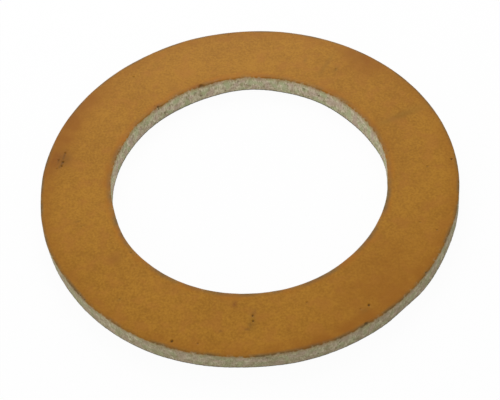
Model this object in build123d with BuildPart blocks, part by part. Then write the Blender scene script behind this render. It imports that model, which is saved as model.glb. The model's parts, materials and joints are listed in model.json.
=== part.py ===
from build123d import *
import os

# Flat ring gasket, punched from 3 mm sheet. It is squeezed between two flange faces,
# with its rim inside the ring of flange bolts and its bore round the mouth of the pipe.
#
# Frame: millimetres, +Z up along the axis of the bore, with the origin on that axis
# at the underside, which is the face that the ring lies on.

# ---------------------------------------------------------------- driving dimensions
outer_diameter = 63.0
bore_diameter = 42.0
thickness = 3.0
face_round = 0.20  # upper rims, where the punch pulled the skin over; the lower ones are crisp

# Flat on the rim, where the knife cut a chord in place of the arc
flat_angle = 309.0  # degrees round the ring from +X
flat_depth = 0.15

# Chips in the upper rims: (angle in degrees, width along the rim)
rim_chips = [(218, 0.50), (297, 0.90), (320, 0.60)]
bore_chips = [(107, 0.80), (129, 0.50)]
chip_depth = 0.40  # down the wall, at the deepest point of a chip

# Pin holes in the upper face:
# (angle in degrees, share of the way from the bore to the rim, diameter)
pin_holes = [
    (1, 0.95, 0.40),
    (126, 0.73, 0.30),
    (163, 0.70, 0.35),
    (165, 0.73, 0.35),
    (167, 0.68, 0.30),
    (168, 0.75, 0.45),
    (246, 0.91, 0.45),
    (266, 0.36, 0.35),
    (267, 0.44, 0.40),
    (301, 0.78, 0.40),
]
pin_hole_depth = 0.30

# --------------------------------------------------------------------------- derived
outer_radius = outer_diameter / 2
bore_radius = bore_diameter / 2
band_width = outer_radius - bore_radius
flat_radius = outer_radius - flat_depth  # from the axis to the flat
flat_width = 2 * (outer_radius**2 - flat_radius**2) ** 0.5

# A cone that stands on its point, with its mouth at the height where it is placed
point_down = (Align.CENTER, Align.CENTER, Align.MAX)

# ----------------------------------------------------------------------- gasket ring
with BuildPart() as gasket_ring:
    # The band's section, with its two upper corners rounded, turned about the bore's axis
    with BuildSketch(Plane.XZ) as section:
        with Locations((bore_radius, 0)):
            Rectangle(band_width, thickness, align=(Align.MIN, Align.MIN))
        fillet(section.vertices().group_by(Axis.Y)[-1], face_round)
    revolve(axis=Axis.Z)

    # The flat, cut square through the sheet by a block a little longer than its chord
    with PolarLocations(flat_radius, 1, flat_angle):
        Box(
            2 * flat_depth,
            1.1 * flat_width,
            thickness,
            align=(Align.MIN, Align.CENTER, Align.MIN),
            mode=Mode.SUBTRACT,
        )

    with Locations((0, 0, thickness)):
        # Chips: half-cones that run down the wall from the rim
        for chips, radius in ((rim_chips, outer_radius), (bore_chips, bore_radius)):
            for angle, width in chips:
                with PolarLocations(radius, 1, angle):
                    Cone(0, width / 2, chip_depth, align=point_down, mode=Mode.SUBTRACT)

        # Pin holes: small cones that taper into the sheet
        for angle, share, diameter in pin_holes:
            with PolarLocations(bore_radius + share * band_width, 1, angle):
                Cone(0, diameter / 2, pin_hole_depth, align=point_down, mode=Mode.SUBTRACT)

gasket_ring.part.label = "gasket_ring"

# ---------------------------------------------------------------------------- export
os.makedirs("parts", exist_ok=True)
export_step(gasket_ring.part, "parts/gasket_ring.step")
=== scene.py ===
"""A flat ring gasket, dressed: its tan skin, its pale cut walls, and their wear.

Laid out as an add-on: property groups hold the sizes and colours, one operator makes the
ring and one the stage, and a panel in the sidebar lists them. Lengths are in metres;
the lists of wear below are in degrees round the ring from +X and in millimetres.
"""

import json
import math

import bmesh
import bpy
from bpy.props import FloatProperty, FloatVectorProperty, IntProperty, PointerProperty
from mathutils import Matrix, Vector, noise


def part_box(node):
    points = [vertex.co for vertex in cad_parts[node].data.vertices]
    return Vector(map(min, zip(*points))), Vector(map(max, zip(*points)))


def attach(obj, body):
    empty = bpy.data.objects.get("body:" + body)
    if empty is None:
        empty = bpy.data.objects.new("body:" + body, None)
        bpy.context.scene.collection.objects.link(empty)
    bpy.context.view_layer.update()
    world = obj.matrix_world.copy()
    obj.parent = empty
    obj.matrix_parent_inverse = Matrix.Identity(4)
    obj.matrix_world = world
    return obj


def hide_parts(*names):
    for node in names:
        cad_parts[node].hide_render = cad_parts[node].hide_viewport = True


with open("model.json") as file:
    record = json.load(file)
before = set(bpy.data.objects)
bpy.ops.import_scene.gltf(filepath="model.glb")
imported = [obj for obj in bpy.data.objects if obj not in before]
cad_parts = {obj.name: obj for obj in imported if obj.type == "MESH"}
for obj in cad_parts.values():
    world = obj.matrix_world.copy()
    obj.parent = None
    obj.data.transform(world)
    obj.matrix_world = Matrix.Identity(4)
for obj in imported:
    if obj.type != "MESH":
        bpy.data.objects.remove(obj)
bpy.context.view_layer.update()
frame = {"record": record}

bl_info = {
    "name": "Ring Gasket",
    "version": (1, 0, 0),
    "blender": (4, 5, 0),
    "location": "View3D > Sidebar > Gasket",
    "description": "Dresses a flat ring gasket with its skin, its cut walls and their wear",
    "category": "Object",
}

# ------------------------------------------------------------------ the frame's sizes
MM = 0.001
CAD_NODE = "gasket_ring"
LOW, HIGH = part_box(CAD_NODE)
MOUNTS = {mount["name"]: mount for mount in frame["record"]["mounts"]}
BORE_RADIUS = MOUNTS["bore"]["dims"]["r_mm"] * MM
RIM_RADIUS = MOUNTS["rim"]["dims"]["r_mm"] * MM
THICKNESS = HIGH.z - LOW.z
FOOT_DEPTH = THICKNESS / MM  # mm from the upper face down to the foot of a wall
RIM_SLACK = 0.12 * MM  # the outer wall wanders in and out by this much, inside the CAD box
BORE_SLACK = 0.17 * MM  # the bore closed a little when the sheet sprang back from the punch

# ------------------------------------------------------------------------ mesh detail
QUARTER = math.pi / 2
WELD = 0.0001 * MM  # points closer than this are one
ROUND_PARTS = 4  # flats in an upper edge's rounding
UNDER_PARTS = 2  # flats in a lower edge's rounding
FINE_CUTS = 3  # cuts in each edge of a face beside a mark
SHARP = math.radians(50)  # faces that meet at more than this show a crease
HOLE_MARGIN = 0.15  # mm of finer faces round a pin hole
CHIP_MARGIN = 0.20  # mm of finer faces round a chip

# ------------------------------------------------------------------- general roughness
WALL_REACH = 0.4  # mm from a wall within which a point counts as on it
BAND_WAVES = 0.014  # mm by which the whole band wavers
WALL_FIBRES = 0.030  # mm by which the fibres stand out of a cut wall
SKIN_WALL = 0.2  # mm of skin above the fibres at the top of a wall
FIBRE_FADE = 0.5  # mm below the skin over which the fibres come in
UNDERSIDE = 0.001  # mm of height below which a point is on the underside
FACE_DIPS = 0.025  # mm by which broad dips lower the upper face
FACE_RIPPLES = 0.004  # mm of fine ripples on the upper face
HOLE_REACH = 0.64  # how far a pin hole's hollow reaches from its middle, in its widths
HOLE_DARKNESS = 0.94  # share of its listed darkness that a pin hole shows
CHIP_SINK = 0.6  # how far a chip sinks for each mm that it goes into the wall
CHIP_DARKNESS = 0.45  # darkness in the middle of a chip
PIT_DEPTH = 0.12  # mm that a pit goes into the wall
EDGE_SHARE = 0.06  # share of the band beside the rim's upper edge that is darkened with painted shade
BORE_EDGE_SHARE = 1.6 * EDGE_SHARE  # the same beside the bore, where the painted shade is wider
FRONT_SPAN = 12 * MM  # the painted shade on the bore's edge is strongest at -Y, where the rounding turns away from the camera; from there to +Y, this far out, it fades

# ------------------------------------------------------------------ wear, listed
# How far each cut edge swells out (+) or in (-): (angle, half width in degrees, mm)
BORE_UPPER = [
    (18, 36, 0.20),
    (106, 7, -0.17),
    (126, 5, -0.12),
    (143, 8, 0.17),
    (190, 20, -0.26),
    (228, 30, -0.05),
    (290, 26, 0.09),
    (354, 12, -0.12),
    (45, 30, 0.05),
    (135, 20, -0.04),
]
BORE_LOWER = [
    (8, 14, 0.21),
    (36, 22, -0.18),
    (86, 18, 0.20),
    (115, 22, -0.15),
    (150, 30, -0.07),
    (195, 20, -0.16),
    (290, 26, 0.06),
    (40, 45, -0.07),
    (88, 100, -0.11),
    (132, 50, -0.12),
]
RIM_UPPER = [
    (42, 50, -0.07),
    (138, 34, 0.10),
    (180, 10, -0.09),
    (197, 8, 0.12),
    (240, 16, 0.11),
    (267, 6, 0.09),
    (288, 6, 0.12),
    (322, 24, -0.15),
    (341, 5, 0.08),
    (285, 90, -0.07),
    (338, 20, -0.12),
    (106, 16, 0.09),
]
RIM_LOWER = [
    (60, 60, -0.05),
    (138, 34, 0.06),
    (230, 26, 0.12),
    (266, 16, -0.16),
    (310.5, 8, -0.18),
    (330, 14, -0.06),
    (240, 14, 0.05),
    (320, 16, 0.06),
    (346, 16, 0.06),
]

# Pin holes in the upper face: (angle, share of the band out from the bore, width, depth,
# darkness from 0 to 1)
PIN_HOLES = [
    (0.3, 0.93, 0.42, 0.10, 0.85),
    (7.6, 0.07, 0.34, 0.04, 0.40),
    (16.1, 0.91, 0.34, 0.04, 0.35),
    (53.5, 0.49, 0.34, 0.04, 0.35),
    (92.0, 0.94, 0.34, 0.04, 0.35),
    (125.9, 0.745, 0.36, 0.08, 0.50),
    (129.6, 0.06, 0.34, 0.04, 0.40),
    (163.1, 0.765, 0.40, 0.10, 0.70),
    (166.1, 0.825, 0.34, 0.08, 0.55),
    (166.7, 0.755, 0.42, 0.12, 0.80),
    (168.3, 0.755, 0.38, 0.12, 0.65),
    (169.5, 0.815, 0.34, 0.04, 0.40),
    (194.0, 0.49, 0.34, 0.04, 0.35),
    (213.4, 0.06, 0.36, 0.05, 0.50),
    (225.2, 0.67, 0.34, 0.04, 0.35),
    (245.6, 0.895, 0.48, 0.16, 0.95),
    (252.4, 0.85, 0.34, 0.06, 0.50),
    (267.3, 0.365, 0.42, 0.10, 0.80),
    (267.4, 0.445, 0.40, 0.12, 0.75),
    (285.6, 0.31, 0.34, 0.04, 0.35),
    (298.7, 0.75, 0.34, 0.05, 0.35),
    (301.4, 0.765, 0.46, 0.14, 0.90),
    (334.2, 0.82, 0.38, 0.06, 0.50),
    (335.4, 0.56, 0.34, 0.04, 0.35),
    (358.3, 0.57, 0.38, 0.06, 0.50),
]

# Short dark scratches: (angle, share, half length round the ring, half width, darkness)
SCRATCHES = [
    (164.0, 0.765, 0.75, 0.16, 0.40),
    (167.5, 0.760, 0.70, 0.18, 0.45),
    (166.3, 0.820, 0.60, 0.16, 0.30),
    (168.8, 0.785, 0.40, 0.16, 0.30),
    (191.4, 0.52, 0.20, 0.60, 0.22),
    (193.6, 0.47, 0.20, 0.60, 0.22),
    (268.3, 0.30, 0.18, 0.45, 0.25),
    (267.5, 0.35, 0.20, 0.45, 0.30),
    (266.5, 0.51, 0.25, 0.40, 0.25),
    (265.7, 0.575, 0.50, 0.20, 0.32),
    (257.8, 0.62, 0.35, 0.20, 0.22),
]

# Chips out of the upper edges: (angle, 0 at the bore or 1 at the rim, width, depth)
CHIPS = [
    (107.0, 0, 1.30, 0.26),
    (128.9, 0, 0.70, 0.22),
    (218.1, 1, 0.50, 0.16),
    (297.4, 1, 0.95, 0.30),
    (319.7, 1, 0.60, 0.18),
]

# Soft marks on the upper face: (angle, share, half length round the ring, half length
# across the band, strength): brown where the skin is stained, olive where it is soiled,
# darker and redder where the tan is redder, with painted shade beside the rim, and paler where
# the skin is lighter, with a painted sheen at the back
STAINS = [
    (166.0, 0.88, 3.0, 1.2, 0.25),
    (165.2, 0.73, 1.5, 1.1, 0.36),
    (150.0, 0.95, 3.5, 0.7, 0.18),
    (51.0, 0.88, 2.6, 1.1, 0.20),
    (261.1, 0.18, 0.40, 0.65, 0.60),
    (108.2, 0.02, 1.5, 0.40, 0.65),
    (129.0, 0.02, 0.6, 0.35, 0.60),
    (282.0, 0.98, 3.5, 0.35, 0.45),
    (212.5, 0.28, 1.0, 0.8, 0.28),
    (118.0, 0.20, 0.8, 2.2, 0.15),
]
SMUDGES = [
    (165.8, 0.73, 1.0, 0.8, 0.22),
    (22.0, 0.50, 0.7, 4.6, 0.26),
    (57.5, 0.50, 0.4, 2.6, 0.22),
    (267.2, 0.44, 0.6, 1.7, 0.20),
    (299.4, 0.80, 0.8, 0.5, 0.20),
    (225.3, 0.67, 0.3, 0.5, 0.20),
    (53.4, 0.49, 0.25, 0.6, 0.30),
    (65.2, 0.47, 0.25, 0.6, 0.30),
]
# Darker, redder patches of tan; those beside the rim also carry painted shade
REDDER_AND_RIM_SHADE = [
    (310.0, 0.60, 10.0, 5.0, 0.65),
    (285.0, 0.92, 9.0, 1.6, 0.30),
    (47.0, 0.78, 3.2, 2.4, 0.75),
    (45.0, 0.05, 2.6, 0.8, 0.70),
    (152.0, 0.84, 7.5, 2.0, 1.00),
    (165.0, 0.05, 5.0, 0.6, 0.60),
    (170.0, 0.93, 4.0, 1.3, 0.60),
    (13.0, 0.10, 6.0, 1.5, 0.30),
]
# Paler marks: those at 72, 86 and 112 degrees, at the back of the face, are a painted sheen; the
# rest are paler skin
PALE_AND_SHEEN = [
    (86.0, 0.28, 5.5, 2.6, 0.90),
    (72.0, 0.60, 4.0, 3.0, 0.50),
    (112.0, 0.35, 4.0, 2.0, 0.40),
    (197.0, 0.50, 4.0, 3.0, 0.45),
    (236.0, 0.36, 6.0, 2.6, 0.55),
    (17.0, 0.88, 7.0, 1.4, 0.40),
]

FACE_MARKS = {"stain": STAINS, "smudge": SMUDGES, "redder_and_rim_shade": REDDER_AND_RIM_SHADE, "pale": PALE_AND_SHEEN}

# Pits in the cut walls: (angle, 0 at the bore or 1 at the rim, depth below the upper
# face, width, darkness)
WALL_PITS = [
    (49.0, 0, 1.00, 0.40, 0.80),
    (53.7, 0, 1.45, 0.50, 0.75),
    (61.0, 0, 1.20, 0.80, 0.50),
    (107.8, 0, 2.00, 0.60, 0.80),
    (110.2, 0, 1.10, 0.70, 0.40),
    (128.9, 0, 0.45, 0.50, 0.90),
    (126.3, 0, 1.90, 0.46, 0.70),
    (90.5, 0, 0.80, 0.50, 0.50),
    (270.5, 1, 0.70, 0.40, 0.65),
    (289.5, 1, 1.10, 0.40, 0.80),
    (301.0, 1, 0.90, 0.46, 0.55),
    (317.0, 1, 0.65, 0.52, 0.90),
    (283.5, 1, 2.10, 0.42, 0.50),
]

# What the material reads from each point of the mesh
LAYERS = ("depth", "share", "side", "hole", *FACE_MARKS)

# --------------------------------------------------------------------- lamps and floor
# Places and widths are in metres; both lamps face the origin
WHITE = (1, 1, 1)
KEY_PLACE = (-0.005, 0.165, 0.135)
KEY_WIDTH = 0.14
FILL_PLACE = (-0.175, -0.095, 0.06)
FILL_WIDTH = 0.15
FLOOR_HALF = 2.0  # half of the floor's width
FLOOR_DROP = 0.02 * MM  # how far the floor lies below the ring


# --------------------------------------------------------------------- sizes and colours
def tone(red, green, blue):
    """A colour written as it looks on a screen, from 0 to 255, as Blender's linear values."""
    levels = [value / 255 for value in (red, green, blue)]
    return [v / 12.92 if v <= 0.04045 else ((v + 0.055) / 1.055) ** 2.4 for v in levels]


def length(name, description, default):
    """A property for a length, in metres."""
    return FloatProperty(
        name=name, description=description, default=default, unit="LENGTH", precision=5
    )


def colour(name, description, red, green, blue):
    """A property for a colour."""
    return FloatVectorProperty(
        name=name,
        description=description,
        default=tone(red, green, blue),
        subtype="COLOR",
        min=0,
        max=1,
    )


class RingSizes(bpy.types.PropertyGroup):
    """Sizes of the ring and of its mesh."""

    rim_radius: length("Rim radius", "Mean radius of the outer wall", RIM_RADIUS - RIM_SLACK)
    bore_radius: length("Bore radius", "Mean radius of the inner wall", BORE_RADIUS - BORE_SLACK)
    thickness: length("Thickness", "Height of the walls", THICKNESS)
    face_round: length("Face round", "Radius of the upper edges", 0.20 * MM)
    under_round: length("Under round", "Radius of the lower edges", 0.05 * MM)
    steps: IntProperty(name="Steps", description="Divisions round the ring", default=900)
    face_cuts: IntProperty(name="Face cuts", description="Cuts across the upper face", default=35)
    under_cuts: IntProperty(name="Under cuts", description="Cuts across the underside", default=9)
    wall_cuts: IntProperty(name="Wall cuts", description="Cuts down each wall", default=13)


class SkinColours(bpy.types.PropertyGroup):
    """Colours of the tan skin on the faces."""

    light: colour("Light tan", "Skin where the grain is pale", 167, 115, 28)
    dark: colour("Dark tan", "Skin where the grain is deep", 146, 97, 16)
    warm: colour("Warm", "Skin near the bore", 169, 102, 8)
    # Darker and redder: a redder tan, with painted shade beside the rim
    redder_and_rim_shade: colour("Redder, rim shade", "Redder skin, with painted shade near the rim", 144, 89, 12)
    # Painted shade on the rounded upper edges
    edge_shade: colour("Edge shade", "Painted shade along the upper edges", 98, 81, 50)
    stain: colour("Stain", "Brown stains", 112, 60, 12)
    rosy: colour("Rosy", "Patches where the skin is duller and redder", 160, 102, 32)
    smudge: colour("Smudge", "Olive dirt", 100, 78, 26)
    hole: colour("Pin hole", "Bottom of a pin hole", 62, 42, 20)


class CoreColours(bpy.types.PropertyGroup):
    """Colours of the cut walls."""

    light: colour("Light core", "Pale fibres", 214, 204, 175)
    dark: colour("Dark core", "Gaps between the fibres", 151, 140, 108)
    green: colour("Green tint", "Patches of greener fibre", 170, 176, 134)
    pink: colour("Pink tint", "Patches of pinker fibre", 186, 164, 146)
    fleck: colour("Fleck", "Dark flecks and pits", 88, 68, 46)
    # The dark line along the foot of each wall: the underside skin's edge, with painted contact
    # shade
    foot_shade: colour("Foot", "Painted contact shade along the lower edge", 92, 86, 74)
    # Painted shade that makes the outer wall darker than the bore's wall
    outer_wall_shade: colour("Outer wall shade", "Painted shade on the outer wall", 136, 125, 96)
    soaked: colour("Soaked", "Core that the tan has soaked into", 160, 128, 78)


class StageSettings(bpy.types.PropertyGroup):
    """The camera, the lamps and the floor."""

    elevation: FloatProperty(
        name="Elevation",
        description="Height of the camera's line of sight above the floor",
        default=math.radians(50.68),
        subtype="ANGLE",
    )
    roll: FloatProperty(
        name="Roll",
        description="Turn of the camera about its line of sight",
        default=math.radians(5.27),
        subtype="ANGLE",
    )
    aim_down: FloatProperty(
        name="Aim down",
        description="How far below the ring's middle the camera points",
        default=math.radians(0.633),
        subtype="ANGLE",
    )
    aim_right: FloatProperty(
        name="Aim right",
        description="How far right of the ring's middle the camera points",
        default=math.radians(0.044),
        subtype="ANGLE",
    )
    distance: length("Distance", "From the camera to the ring's middle", 208.4 * MM)
    lens: FloatProperty(name="Lens", description="Focal length", default=99.55, unit="CAMERA")
    ambient: FloatProperty(
        name="Ambient", description="Strength of the light from all round", default=0.72
    )
    key_power: FloatProperty(
        name="Key", description="Power of the lamp behind the ring", default=0.22, unit="POWER"
    )
    fill_power: FloatProperty(
        name="Fill", description="Power of the low lamp at the left", default=0.07, unit="POWER"
    )
    floor: colour("Floor", "Pale floor", 236, 236, 236)
    floor_glow: FloatProperty(
        name="Floor glow",
        description="Share of the floor that shows plain white to the camera",
        default=0.95,
        subtype="FACTOR",
    )


# ----------------------------------------------------------------------- the ring's mesh
def ring_section(sizes):
    """The outline of the band's section, with rounded corners, cut into short runs."""
    mesh = bmesh.new()
    low, high = LOW.z, LOW.z + sizes.thickness
    bore, rim = sizes.bore_radius, sizes.rim_radius
    corners = [
        mesh.verts.new((radius, 0, height))
        for radius, height in ((bore, low), (rim, low), (rim, high), (bore, high))
    ]
    for corner, following in zip(corners, corners[1:] + corners[:1]):
        mesh.edges.new((corner, following))
    for ends, reach, parts in (
        (corners[2:], sizes.face_round, ROUND_PARTS),
        (corners[:2], sizes.under_round, UNDER_PARTS),
    ):
        bmesh.ops.bevel(
            mesh,
            geom=ends,
            offset=reach,
            offset_type="OFFSET",
            segments=parts,
            profile=0.5,
            affect="VERTICES",
            material=-1,
        )
    long_edges = [edge for edge in mesh.edges if edge.calc_length() > sizes.thickness / 2]
    for edge in long_edges:
        first, second = (vert.co for vert in edge.verts)
        if abs(first.x - second.x) < abs(first.z - second.z):
            cuts = sizes.wall_cuts
        elif first.z > sizes.thickness / 2:
            cuts = sizes.face_cuts
        else:
            cuts = sizes.under_cuts
        bmesh.ops.subdivide_edges(mesh, edges=[edge], cuts=cuts)
    return mesh


def ring_blank(sizes):
    """The plain ring: its section spun through a quarter turn, and three turned copies."""
    mesh = ring_section(sizes)
    bmesh.ops.spin(
        mesh,
        geom=mesh.verts[:] + mesh.edges[:],
        cent=(0, 0, 0),
        axis=(0, 0, 1),
        angle=QUARTER,
        steps=sizes.steps // 4,
        use_merge=False,
        use_duplicate=False,
    )
    quarter = mesh.verts[:] + mesh.edges[:] + mesh.faces[:]
    for turn in range(1, 4):
        copy = bmesh.ops.duplicate(mesh, geom=quarter)["geom"]
        verts = [item for item in copy if isinstance(item, bmesh.types.BMVert)]
        bmesh.ops.rotate(mesh, verts=verts, matrix=Matrix.Rotation(turn * QUARTER, 3, "Z"))
    bmesh.ops.remove_doubles(mesh, verts=mesh.verts, dist=WELD)
    bmesh.ops.recalc_face_normals(mesh, faces=mesh.faces)
    return mesh


def place_on_face(sizes, angle, share, height):
    """The point at this angle and share of the band out from the bore."""
    radius = sizes.bore_radius + share * (sizes.rim_radius - sizes.bore_radius)
    turn = math.radians(angle)
    return Vector((radius * math.cos(turn), radius * math.sin(turn), height))


def refine_marks(mesh, sizes):
    """Cuts the faces round every hole, scratch, chip and pit finer, to model its shape."""
    top = LOW.z + sizes.thickness
    marks = [
        *((a, s, 0, width / 2 + HOLE_MARGIN) for a, s, width, _depth, _dark in PIN_HOLES),
        *((a, s, 0, max(along, across)) for a, s, along, across, _dark in SCRATCHES),
        *((a, s, 0, width / 2 + CHIP_MARGIN) for a, s, width, _depth in CHIPS),
        *((a, s, down, width / 2) for a, s, down, width, _dark in WALL_PITS),
    ]
    near = [
        (place_on_face(sizes, angle, share, top - down * MM), reach * MM)
        for angle, share, down, reach in marks
    ]
    edges = {}  # a set of edges that keeps its order
    for face in mesh.faces:
        middle = face.calc_center_median()
        if any((middle - centre).length < reach for centre, reach in near):
            edges.update(dict.fromkeys(face.edges))
    bmesh.ops.subdivide_edges(mesh, edges=list(edges), cuts=FINE_CUTS, use_grid_fill=True)


def angle_between(angle, centre):
    """The shorter way round from one angle to another, in degrees."""
    return abs((angle - centre + 180) % 360 - 180)


def swell(angle, bumps):
    """How far an edge stands out at an angle, in mm: the sum of its smooth bumps."""
    total = 0
    for centre, reach, height in bumps:
        gap = angle_between(angle, centre)
        if gap < reach:
            total += height * (1 + math.cos(math.pi * gap / reach)) / 2
    return total


def dent(distance, reach):
    """1 in the middle of a dent, falling smoothly to 0 at its reach."""
    if distance >= reach:
        return 0
    return (1 - (distance / reach) ** 2) ** 2


def marked(angle, radius, marks, sizes):
    """How strong the soft marks are at a place on the face, from 0 to 1."""
    band = (sizes.rim_radius - sizes.bore_radius) / MM
    total = 0
    for centre, share, along, across, strength in marks:
        middle = sizes.bore_radius / MM + share * band
        round_way = math.radians(angle_between(angle, centre)) * middle / along
        cross_way = (radius - middle) / across
        total += strength * math.exp(-(round_way**2 + cross_way**2))
    return min(total, 1)


def into_band(share):
    """Which way the band lies from a wall: 1 outwards from the bore, -1 inwards from the rim."""
    return 1 if share < 0.5 else -1


def roughness(point, on_wall, below_face):
    """How far the waves of the cut and its fibres move a point outwards, in mm."""
    waves = BAND_WAVES * noise.fractal(point * 0.9, 0.8, 2, 3)
    fibres = Vector((point.x, point.y, point.z * 0.35))
    below_skin = min(max((below_face - SKIN_WALL) / FIBRE_FADE, 0), 1)
    return waves + WALL_FIBRES * on_wall * below_skin * noise.fractal(fibres * 3.1, 0.9, 2, 3)


def face_sink(point, rise):
    """How far the upper face lies below its full height, in mm, fading to 0 underneath."""
    dips = FACE_DIPS * (1 + noise.noise(point * 0.16))
    ripples = FACE_RIPPLES * noise.fractal(point * 2, 1, 2, 3)
    return max(dips + ripples, 0) * rise


def wear_ring(mesh, sizes):
    """Moves the plain ring's points: wandering edges, rough walls, chips, holes and pits.

    It writes on each point what the material needs: how deep it lies below the upper face,
    its share of the way across the band, and how dark its marks are.
    """
    layers = {name: mesh.verts.layers.float.new(name) for name in LAYERS}
    top, thick = LOW.z + sizes.thickness, sizes.thickness / MM
    bore, rim = sizes.bore_radius / MM, sizes.rim_radius / MM
    holes = [
        (place_on_face(sizes, angle, share, top), HOLE_REACH * width, depth, HOLE_DARKNESS * dark)
        for angle, share, width, depth, dark in PIN_HOLES
    ]
    chips = [
        (place_on_face(sizes, angle, side, top), width / 2, depth, into_band(side))
        for angle, side, width, depth in CHIPS
    ]
    pits = [
        (place_on_face(sizes, angle, side, top - down * MM), width / 2, dark, into_band(side))
        for angle, side, down, width, dark in WALL_PITS
    ]
    for vert in mesh.verts:
        place = vert.co.copy()
        point = place / MM
        angle = math.degrees(math.atan2(place.y, place.x)) % 360
        radius, height = math.hypot(place.x, place.y) / MM, (place.z - LOW.z) / MM
        share, rise = (radius - bore) / (rim - bore), height / thick
        outward = Vector((place.x, place.y, 0)).normalized()
        on_wall = max(dent(radius - bore, WALL_REACH), dent(rim - radius, WALL_REACH))

        # The cut edges wander, and each wall leans from its upper edge to its lower one
        bore_out = swell(angle, BORE_UPPER) * rise + swell(angle, BORE_LOWER) * (1 - rise)
        rim_out = swell(angle, RIM_UPPER) * rise + swell(angle, RIM_LOWER) * (1 - rise)
        move_out = bore_out * (1 - share) + rim_out * share
        move_out += roughness(point, on_wall, thick - height)
        sink = face_sink(point, rise)

        dark = 0
        ragged = 1 + 0.35 * noise.noise(point * 4)
        for centre, reach, depth, strength in holes:
            size = dent((place - centre).length / MM, reach * ragged)
            sink += depth * size
            dark = max(dark, strength * size)
        for centre, reach, depth, way in chips:
            size = dent((place - centre).length / MM, reach)
            sink += CHIP_SINK * depth * size
            move_out += depth * size * way
            dark = max(dark, CHIP_DARKNESS * size)
        for centre, reach, strength, way in pits:
            size = dent((place - centre).length / MM, reach)
            move_out += PIT_DEPTH * size * way
            dark = max(dark, strength * size)

        # No point passes the CAD ring's rim or underside
        vert.co = outward * min(radius + move_out, RIM_RADIUS / MM) * MM
        vert.co.z = LOW.z + max(height - sink, 0) * MM

        vert[layers["depth"]] = thick - height
        vert[layers["share"]] = share
        vert[layers["side"]] = 0 if height < UNDERSIDE else on_wall
        if height > thick / 2:
            dark = max(dark, marked(angle, radius, SCRATCHES, sizes))
            for name, marks in FACE_MARKS.items():
                vert[layers[name]] = marked(angle, radius, marks, sizes)
        vert[layers["hole"]] = dark


def ring_mesh(sizes):
    """The whole worn ring as a Blender mesh."""
    work = ring_blank(sizes)
    refine_marks(work, sizes)
    wear_ring(work, sizes)
    if not all(edge.is_contiguous for edge in work.edges):
        raise RuntimeError("the ring's mesh is open, or its faces point both ways")
    for face in work.faces:
        face.smooth = True
    mesh = bpy.data.meshes.new("skinned_ring")
    work.to_mesh(mesh)
    work.free()
    mesh.set_sharp_from_angle(angle=SHARP)
    return mesh


# ----------------------------------------------------------------------- the material
class Nodes:
    """Adds nodes to a tree; an input may be a plain value or another node's output."""

    def __init__(self, tree):
        self.tree = tree
        tree.nodes.clear()

    def add(self, kind, inputs=(), **settings):
        """Adds a node, with its settings and its inputs."""
        node = self.tree.nodes.new(kind)
        for name, value in settings.items():
            setattr(node, name, value)
        for name, value in dict(inputs).items():
            if isinstance(value, bpy.types.NodeSocket):
                self.tree.links.new(value, node.inputs[name])
            else:
                node.inputs[name].default_value = value
        return node

    def attribute(self, name):
        """A value stored on the mesh."""
        return self.add("ShaderNodeAttribute", attribute_name=name).outputs["Fac"]

    def calculate(self, operation, first, second, clamp=False):
        """One step of arithmetic."""
        inputs = {0: first, 1: second}
        node = self.add("ShaderNodeMath", inputs, operation=operation, use_clamp=clamp)
        return node.outputs[0]

    def weigh(self, *parts, start=0):
        """The sum of several values, each times its weight."""
        total = start
        for value, weight in parts:
            inputs = {0: value, 1: weight, 2: total}
            total = self.add("ShaderNodeMath", inputs, operation="MULTIPLY_ADD").outputs[0]
        return total

    def fade(self, value, start, end, first=0, last=1):
        """Goes smoothly from first to last as the value goes from start to end."""
        inputs = {"Value": value, 1: start, 2: end, 3: first, 4: last}
        node = self.add("ShaderNodeMapRange", inputs, interpolation_type="SMOOTHSTEP")
        return node.outputs["Result"]

    def mottle(self, place, size, detail=2, spread=0.16, roughness=0.5):
        """Patches of about this size in metres, from 0 to 1."""
        inputs = {"Vector": place, "Scale": 1 / size, "Detail": detail, "Roughness": roughness}
        node = self.add("ShaderNodeTexNoise", inputs)
        limits = {"Value": node.outputs["Fac"], 1: 0.5 - spread, 2: 0.5 + spread}
        return self.add("ShaderNodeMapRange", limits, clamp=False).outputs["Result"]

    def blend(self, share, first, second):
        """A colour between two others."""
        inputs = {0: share, 6: first, 7: second}
        return self.add("ShaderNodeMix", inputs, data_type="RGBA").outputs[2]


def tint(value):
    """A colour property as a node's four values."""
    return (*value, 1)


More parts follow.
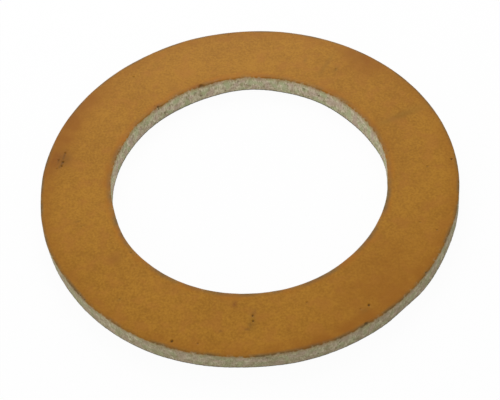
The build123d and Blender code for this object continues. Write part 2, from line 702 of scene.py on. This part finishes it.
def skin(nodes, place, colours):
    """The tan skin: its colour and its height in mm."""
    share, hole = nodes.attribute("share"), nodes.attribute("hole")
    grain = nodes.mottle(place, 0.34 * MM, 1)
    patches = nodes.mottle(place, 1.5 * MM, 2)
    clouds = nodes.mottle(place, 9 * MM, 1)
    rosy = nodes.fade(nodes.mottle(place, 2.4 * MM, 3), 0.40, 1.10, 0, 0.45)
    # The paler marks lighten the skin: a painted sheen at the back, paler skin elsewhere
    pale = nodes.attribute("pale")
    parts = ((grain, 0.65), (patches, 0.38), (clouds, 0.25), (pale, 0.35))
    mixed = nodes.weigh(*parts, start=-0.14)
    colour = nodes.blend(mixed, tint(colours.dark), tint(colours.light))
    colour = nodes.blend(rosy, colour, tint(colours.rosy))

    spots = nodes.fade(nodes.mottle(place, 2.6 * MM, 2), -0.2, 1.2)
    by_bore = nodes.calculate("MULTIPLY", nodes.fade(share, 0.0, 0.15, 0.9, 0), spots)
    colour = nodes.blend(by_bore, colour, tint(colours.warm))
    # Darker and redder towards the rim and in the listed patches: a redder tan, and beside the
    # rim painted shade
    by_rim = nodes.fade(share, 0.72, 0.98, 0, 0.50)
    redder_and_rim_shade = nodes.calculate("ADD", by_rim, nodes.attribute("redder_and_rim_shade"))
    redder_and_rim_shade = nodes.calculate("MULTIPLY", redder_and_rim_shade, nodes.fade(spots, 0, 1, 0.6, 1.1), clamp=True)
    colour = nodes.blend(redder_and_rim_shade, colour, tint(colours.redder_and_rim_shade))
    broken = nodes.fade(grain, 0, 1, 0.6, 1.2)
    for name, mark in (("stain", colours.stain), ("smudge", colours.smudge)):
        ragged = nodes.calculate("MULTIPLY", nodes.attribute(name), broken)
        colour = nodes.blend(ragged, colour, tint(mark))
    colour = nodes.blend(hole, colour, tint(colours.hole))
    rise = nodes.weigh((grain, 0.003), (patches, 0.004))
    return colour, rise


def core(nodes, place, colours):
    """The pale cut wall: its colour and its height in mm."""
    depth, share, hole = (nodes.attribute(name) for name in ("depth", "share", "hole"))
    stretch = nodes.add("ShaderNodeMapping", {"Vector": place, "Scale": (1, 1, 0.45)})
    fibres = nodes.mottle(stretch.outputs["Vector"], 0.22 * MM, 2)
    patches = nodes.mottle(place, 0.9 * MM, 2)
    mixed = nodes.weigh((fibres, 0.85), (patches, 0.60), start=-0.22)
    colour = nodes.blend(mixed, tint(colours.dark), tint(colours.light))
    hue = nodes.mottle(place, 1.3 * MM, 1)
    colour = nodes.blend(nodes.fade(hue, 0.5, 1.0, 0, 0.7), colour, tint(colours.green))
    colour = nodes.blend(nodes.fade(hue, 0.5, 0.0, 0, 0.7), colour, tint(colours.pink))
    specks = nodes.fade(nodes.mottle(place, 0.22 * MM, 1), 0.85, 1.15, 0, 0.4)
    colour = nodes.blend(specks, colour, tint(colours.fleck))
    soaked = nodes.fade(depth, 0.15, 0.90, 0.55, 0)
    colour = nodes.blend(soaked, colour, tint(colours.soaked))
    # Painted shade, in patches, that darkens the outer wall against the bore's wall
    shade_patches = nodes.fade(nodes.mottle(place, 0.7 * MM, 2), -0.2, 1.2, 0.25, 0.70)
    outer_wall_shade = nodes.calculate("MULTIPLY", nodes.fade(share, 0.3, 0.7), shade_patches)
    colour = nodes.blend(outer_wall_shade, colour, tint(colours.outer_wall_shade))
    # A dark line along the foot of each wall: the underside skin's edge, darkened with painted
    # shade where the wall meets the floor
    foot_shade = nodes.fade(depth, FOOT_DEPTH - 0.30, FOOT_DEPTH - 0.08, 0, 0.9)
    colour = nodes.blend(foot_shade, colour, tint(colours.foot_shade))
    colour = nodes.blend(hole, colour, tint(colours.fleck))
    rise = nodes.calculate("MULTIPLY", mixed, 0.04)
    return colour, rise


def sheet_material(skin_colours, core_colours):
    """The ring's one material: tan skin on the faces, pale core on the cut walls."""
    material = bpy.data.materials.new("skinned sheet")
    material.use_nodes = True
    nodes = Nodes(material.node_tree)
    place = nodes.add("ShaderNodeTexCoord").outputs["Object"]
    skin_colour, skin_rise = skin(nodes, place, skin_colours)
    core_colour, core_rise = core(nodes, place, core_colours)

    depth = nodes.attribute("depth")
    share = nodes.attribute("share")
    across = nodes.add("ShaderNodeSeparateXYZ", {"Vector": place}).outputs["Y"]
    # Painted shade on the rounded upper edges: all round the rim, and on the bore's edge
    # strongest at the front, where the rounding turns away from the camera; in patches
    front_shade_weight = nodes.fade(across, -FRONT_SPAN, FRONT_SPAN, 1.15, 0.65)
    bore_edge = nodes.fade(share, 0, BORE_EDGE_SHARE, front_shade_weight, 0)
    edge = nodes.fade(share, 1 - EDGE_SHARE, 1, bore_edge, 1.1)
    edge_shade_mask = nodes.fade(nodes.mottle(place, 3 * MM, 2), -0.1, 1.1, 0.15, 0.85)
    edge_shade_mask = nodes.calculate("MULTIPLY", edge, edge_shade_mask)
    skin_colour = nodes.blend(edge_shade_mask, skin_colour, tint(skin_colours.edge_shade))
    ragged = nodes.weigh((depth, 1.0), (nodes.mottle(place, 0.45 * MM, 3), 0.20), start=-0.10)
    cut = nodes.calculate("MULTIPLY", nodes.fade(ragged, 0.0, 0.28), nodes.attribute("side"))

    colour = nodes.blend(cut, skin_colour, core_colour)
    rise = nodes.add("ShaderNodeMix", {0: cut, 2: skin_rise, 3: core_rise}, data_type="FLOAT")
    bump = nodes.add("ShaderNodeBump", {"Height": rise.outputs[0], "Distance": MM})
    shader = nodes.add(
        "ShaderNodeBsdfPrincipled",
        {
            "Base Color": colour,
            "Roughness": nodes.fade(cut, 0, 1, 0.50, 0.92),
            "Specular IOR Level": 0.11,
            "Normal": bump.outputs["Normal"],
        },
    )
    nodes.add("ShaderNodeOutputMaterial", {"Surface": shader.outputs[0]})
    return material


# --------------------------------------------------------------------------- the stage
def camera_object(settings):
    """The camera, above the floor in front of the ring and a little rolled."""
    data = bpy.data.cameras.new("camera")
    data.lens = settings.lens
    data.sensor_width = 36
    data.clip_start = 10 * MM
    camera = bpy.data.objects.new("camera", data)
    middle = Vector((0, 0, LOW.z + THICKNESS / 2))
    sight = Matrix.Rotation(math.pi / 2 - settings.elevation, 4, "X")
    aim = (
        Matrix.Rotation(-settings.roll, 4, "Z")
        @ Matrix.Rotation(-settings.aim_right, 4, "Y")
        @ Matrix.Rotation(-settings.aim_down, 4, "X")
    )
    back = sight @ Vector((0, 0, settings.distance))
    camera.matrix_world = Matrix.Translation(middle + back) @ sight @ aim
    bpy.context.scene.collection.objects.link(camera)
    bpy.context.scene.camera = camera
    return camera


def lamp(name, place, width, power):
    """A square white lamp that faces the ring."""
    data = bpy.data.lights.new(name, "AREA")
    data.size = width
    data.energy = power
    data.color = WHITE
    light = bpy.data.objects.new(name, data)
    light.location = place
    light.rotation_euler = (-Vector(place)).to_track_quat("-Z", "Y").to_euler()
    bpy.context.scene.collection.objects.link(light)
    return light


def white_surround(settings):
    """A plain white background, and even light from all round."""
    world = bpy.data.worlds.new("white surround")
    world.use_nodes = True
    bpy.context.scene.world = world
    nodes = Nodes(world.node_tree)
    seen = nodes.add("ShaderNodeLightPath").outputs["Is Camera Ray"]
    strength = nodes.fade(seen, 0, 1, settings.ambient, 1)
    light = nodes.add("ShaderNodeBackground", {"Color": tint(WHITE), "Strength": strength})
    nodes.add("ShaderNodeOutputWorld", {"Surface": light.outputs[0]})


def floor_object(settings):
    """A wide pale floor that shows white to the camera, with a faint shadow."""
    work = bmesh.new()
    bmesh.ops.create_grid(work, x_segments=1, y_segments=1, size=FLOOR_HALF)
    mesh = bpy.data.meshes.new("floor")
    work.to_mesh(mesh)
    work.free()
    floor = bpy.data.objects.new("floor", mesh)
    floor.location.z = LOW.z - FLOOR_DROP
    material = bpy.data.materials.new("white floor")
    material.use_nodes = True
    nodes = Nodes(material.node_tree)
    lit = nodes.add("ShaderNodeBsdfDiffuse", {"Color": tint(settings.floor)})
    white = nodes.add("ShaderNodeEmission", {"Color": tint(WHITE), "Strength": 1.0})
    seen = nodes.add("ShaderNodeLightPath").outputs["Is Camera Ray"]
    share = nodes.calculate("MULTIPLY", seen, settings.floor_glow)
    inputs = {0: share, 1: lit.outputs[0], 2: white.outputs[0]}
    mixed = nodes.add("ShaderNodeMixShader", inputs)
    nodes.add("ShaderNodeOutputMaterial", {"Surface": mixed.outputs[0]})
    mesh.materials.append(material)
    bpy.context.scene.collection.objects.link(floor)
    return floor


# ------------------------------------------------------------------------ the operators
class GASKET_OT_ring(bpy.types.Operator):
    """Makes the worn ring and stands it for the CAD ring"""

    bl_idname = "gasket.ring"
    bl_label = "Make the ring"

    def execute(self, context):
        scene = context.scene
        mesh = ring_mesh(scene.ring_sizes)
        mesh.materials.append(sheet_material(scene.skin_colours, scene.core_colours))
        ring = bpy.data.objects.new("skinned_ring", mesh)
        scene.collection.objects.link(ring)
        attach(ring, "root")
        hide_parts(CAD_NODE)
        return {"FINISHED"}


class GASKET_OT_stage(bpy.types.Operator):
    """Sets up the camera, the lamps, the white surround and the floor"""

    bl_idname = "gasket.stage"
    bl_label = "Set the stage"

    def execute(self, context):
        settings = context.scene.stage_settings
        context.scene.view_settings.view_transform = "Standard"
        camera_object(settings)
        lamp("key", KEY_PLACE, KEY_WIDTH, settings.key_power)
        lamp("fill", FILL_PLACE, FILL_WIDTH, settings.fill_power)
        white_surround(settings)
        floor_object(settings)
        return {"FINISHED"}


class GASKET_PT_panel(bpy.types.Panel):
    """Lists the operators and their settings"""

    bl_idname = "GASKET_PT_panel"
    bl_label = "Ring gasket"
    bl_space_type = "VIEW_3D"
    bl_region_type = "UI"
    bl_category = "Gasket"

    def draw(self, context):
        for operator, groups in (
            (GASKET_OT_ring, ("ring_sizes", "skin_colours", "core_colours")),
            (GASKET_OT_stage, ("stage_settings",)),
        ):
            box = self.layout.box()
            box.operator(operator.bl_idname)
            for group in groups:
                settings = getattr(context.scene, group)
                for name in settings.bl_rna.properties.keys():
                    if name not in ("rna_type", "name"):
                        box.prop(settings, name)


GROUPS = {
    "ring_sizes": RingSizes,
    "skin_colours": SkinColours,
    "core_colours": CoreColours,
    "stage_settings": StageSettings,
}
CLASSES = (*GROUPS.values(), GASKET_OT_ring, GASKET_OT_stage, GASKET_PT_panel)


def register():
    for kind in CLASSES:
        bpy.utils.register_class(kind)
    for name, kind in GROUPS.items():
        setattr(bpy.types.Scene, name, PointerProperty(type=kind))


def unregister():
    for name in GROUPS:
        delattr(bpy.types.Scene, name)
    for kind in reversed(CLASSES):
        bpy.utils.unregister_class(kind)


def main():
    register()
    bpy.ops.gasket.ring()
    bpy.ops.gasket.stage()


if __name__ == "__main__":
    main()
